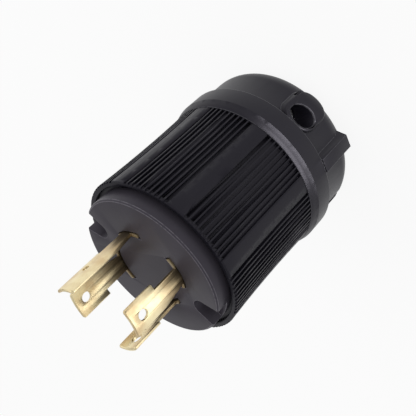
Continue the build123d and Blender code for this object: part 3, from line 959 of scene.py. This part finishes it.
class PLUG_OT_clamp_fasteners(bpy.types.Operator):
    """Turn the two cross screws of the cord clamp and finish their nuts"""

    bl_idname = "plug.clamp_fasteners"
    bl_label = "Clamp fasteners"

    def execute(self, context):
        metal = context.scene.plug_metal
        screws = context.scene.plug_screws
        zinc = turned_metal("clamp_steel", metal.zinc, metal.zinc_deep, 0.24)
        for number, angle in ((1, CLAMP_ANGLE), (2, CLAMP_ANGLE + 180)):
            node = f"cord_clamp_screw_{number}"
            screw = slotted_screw(
                node, level(angle), screws, 2.4 * MM, 1.75 * MM, 12 * MM, screws.fine_pitch
            )
            dress(screw, zinc, "screw_steel", node)
            node = f"cord_clamp_nut_{number}"
            dress(softened(node, f"{node}_pressing", metal.stamped_radius), zinc, "screw_steel", node)
        return {"FINISHED"}


class PLUG_OT_assembly_screws(bpy.types.Operator):
    """Turn the two long screws in the face's notches"""

    bl_idname = "plug.assembly_screws"
    bl_label = "Assembly screws"

    def execute(self, context):
        metal = context.scene.plug_metal
        screws = context.scene.plug_screws
        zinc = turned_metal("assembly_steel", metal.zinc, metal.zinc_deep, 0.24)
        for number in (1, 2):
            node = f"assembly_screw_{number}"
            screw = slotted_screw(
                node, Vector((0, 0, 1)), screws, 2.8 * MM, 1.75 * MM, 22 * MM, screws.coarse_pitch
            )
            dress(screw, zinc, "screw_steel", node)
        return {"FINISHED"}


class PLUG_OT_studio(bpy.types.Operator):
    """Set up the white floor, the soft lamps and the camera"""

    bl_idname = "plug.studio"
    bl_label = "Studio"

    def execute(self, context):
        settings = context.scene.plug_studio
        self.add_camera(context, settings)
        self.add_floor(settings)
        self.add_lamps(settings)
        self.add_sky(context, settings)
        context.scene.view_settings.view_transform = "Standard"
        return {"FINISHED"}

    def add_camera(self, context, settings):
        azimuth, elevation = settings.azimuth, settings.elevation
        back = Vector(
            (sin(azimuth) * cos(elevation), -cos(azimuth) * cos(elevation), sin(elevation))
        )
        level = Vector((cos(azimuth), sin(azimuth), 0))
        turn = Matrix.Rotation(settings.roll, 3, back)
        right = turn @ level
        up = back.cross(right)
        bpy.ops.object.select_all(action="DESELECT")
        bpy.ops.object.camera_add()
        camera = context.object
        camera.name = "photo_camera"
        camera.data.sensor_width = 36
        camera.data.lens = settings.lens
        camera.data.clip_start = 1 * MM
        rotation = Matrix((right, up, back)).transposed().to_4x4()
        place = Vector(settings.target) + back * settings.distance
        camera.matrix_world = Matrix.Translation(place) @ rotation
        context.scene.camera = camera

    def add_floor(self, settings):
        bpy.ops.object.select_all(action="DESELECT")
        bpy.ops.mesh.primitive_plane_add(size=6)
        floor = bpy.context.object
        floor.name = "floor"
        floor.data.materials.append(white_stage("white_floor", settings.floor_shade))

    def add_lamps(self, settings):
        middle = Vector((0, 0, 50 * MM))
        lamps = {
            "overhead": ((-0.45, 0.80, 0.75), 0.8, (0.90, 0.90), 0.70),
            "front": ((0.75, 0.15, 0.80), 0.8, (0.90, 0.90), 0.30),
            "rear": ((-0.6, -0.7, 0.5), 0.8, (0.60, 0.60), 0.15),
            "strip": ((0.99, 0.13, 0.02), 0.8, (1.40, 0.12), 8.0),
            "card": ((0.90, -0.44, -0.05), 0.3, (0.24, 0.06), 0.05),
        }
        for name, (direction, distance, size, share) in lamps.items():
            towards = Vector(direction).normalized()
            bpy.ops.object.select_all(action="DESELECT")
            bpy.ops.object.light_add(type="AREA", location=middle + towards * distance)
            lamp = bpy.context.object
            lamp.name = f"{name}_lamp"
            lamp.rotation_euler = towards.to_track_quat("Z", "Y").to_euler()
            lamp.data.shape = "RECTANGLE"
            lamp.data.size, lamp.data.size_y = size
            lamp.data.energy = settings.lamp_power * share
            if name in ("strip", "card"):
                lamp.visible_diffuse = False
                lamp.light_linking.receiver_collection = lit_by(f"{name}_lit")

    def add_sky(self, context, settings):
        world = bpy.data.worlds.new("studio_sky")
        world.use_nodes = True
        tree = world.node_tree
        background = tree.nodes["Background"]
        ray = tree.nodes.new("ShaderNodeLightPath")
        seen = tree.nodes.new("ShaderNodeMath")
        seen.operation = "MAXIMUM"
        tree.links.new(ray.outputs["Is Camera Ray"], seen.inputs[0])
        tree.links.new(ray.outputs["Is Transmission Ray"], seen.inputs[1])
        strength = tree.nodes.new("ShaderNodeMapRange")
        strength.inputs["To Min"].default_value = settings.sky_strength
        strength.inputs["To Max"].default_value = 1.0
        tree.links.new(seen.outputs[0], strength.inputs["Value"])
        tree.links.new(strength.outputs[0], background.inputs["Strength"])
        background.inputs["Color"].default_value = rgba((1.0, 1.0, 1.0))
        context.scene.world = world


PIECES = (
    PLUG_OT_studio,
    PLUG_OT_contact_carrier,
    PLUG_OT_terminal_retainer,
    PLUG_OT_ribbed_sleeve,
    PLUG_OT_rear_housing,
    PLUG_OT_blades,
    PLUG_OT_clamp_plates,
    PLUG_OT_terminal_screws,
    PLUG_OT_cord_jaws,
    PLUG_OT_clamp_fasteners,
    PLUG_OT_assembly_screws,
)
SETTINGS = {
    "plug_moulding": PlugMouldingSettings,
    "plug_metal": PlugMetalSettings,
    "plug_screws": PlugScrewSettings,
    "plug_studio": PlugStudioSettings,
}


class PLUG_PT_finisher(bpy.types.Panel):
    """Buttons for each piece of the plug, and the settings that they read"""

    bl_label = "Twist-lock plug"
    bl_idname = "PLUG_PT_finisher"
    bl_space_type = "VIEW_3D"
    bl_region_type = "UI"
    bl_category = "Plug"

    def draw(self, context):
        for operator in PIECES:
            self.layout.operator(operator.bl_idname)
        for name, group in SETTINGS.items():
            box = self.layout.box()
            for key in group.__annotations__:
                box.prop(getattr(context.scene, name), key)


def register():
    for group in SETTINGS.values():
        bpy.utils.register_class(group)
    for operator in (*PIECES, PLUG_PT_finisher):
        bpy.utils.register_class(operator)
    for name, group in SETTINGS.items():
        setattr(bpy.types.Scene, name, PointerProperty(type=group))


def unregister():
    for name in SETTINGS:
        delattr(bpy.types.Scene, name)
    for operator in reversed((*PIECES, PLUG_PT_finisher)):
        bpy.utils.unregister_class(operator)
    for group in SETTINGS.values():
        bpy.utils.unregister_class(group)


def main():
    register()
    for operator in PIECES:
        family, name = operator.bl_idname.split(".")
        getattr(getattr(bpy.ops, family), name)()


if __name__ == "__main__":
    main()
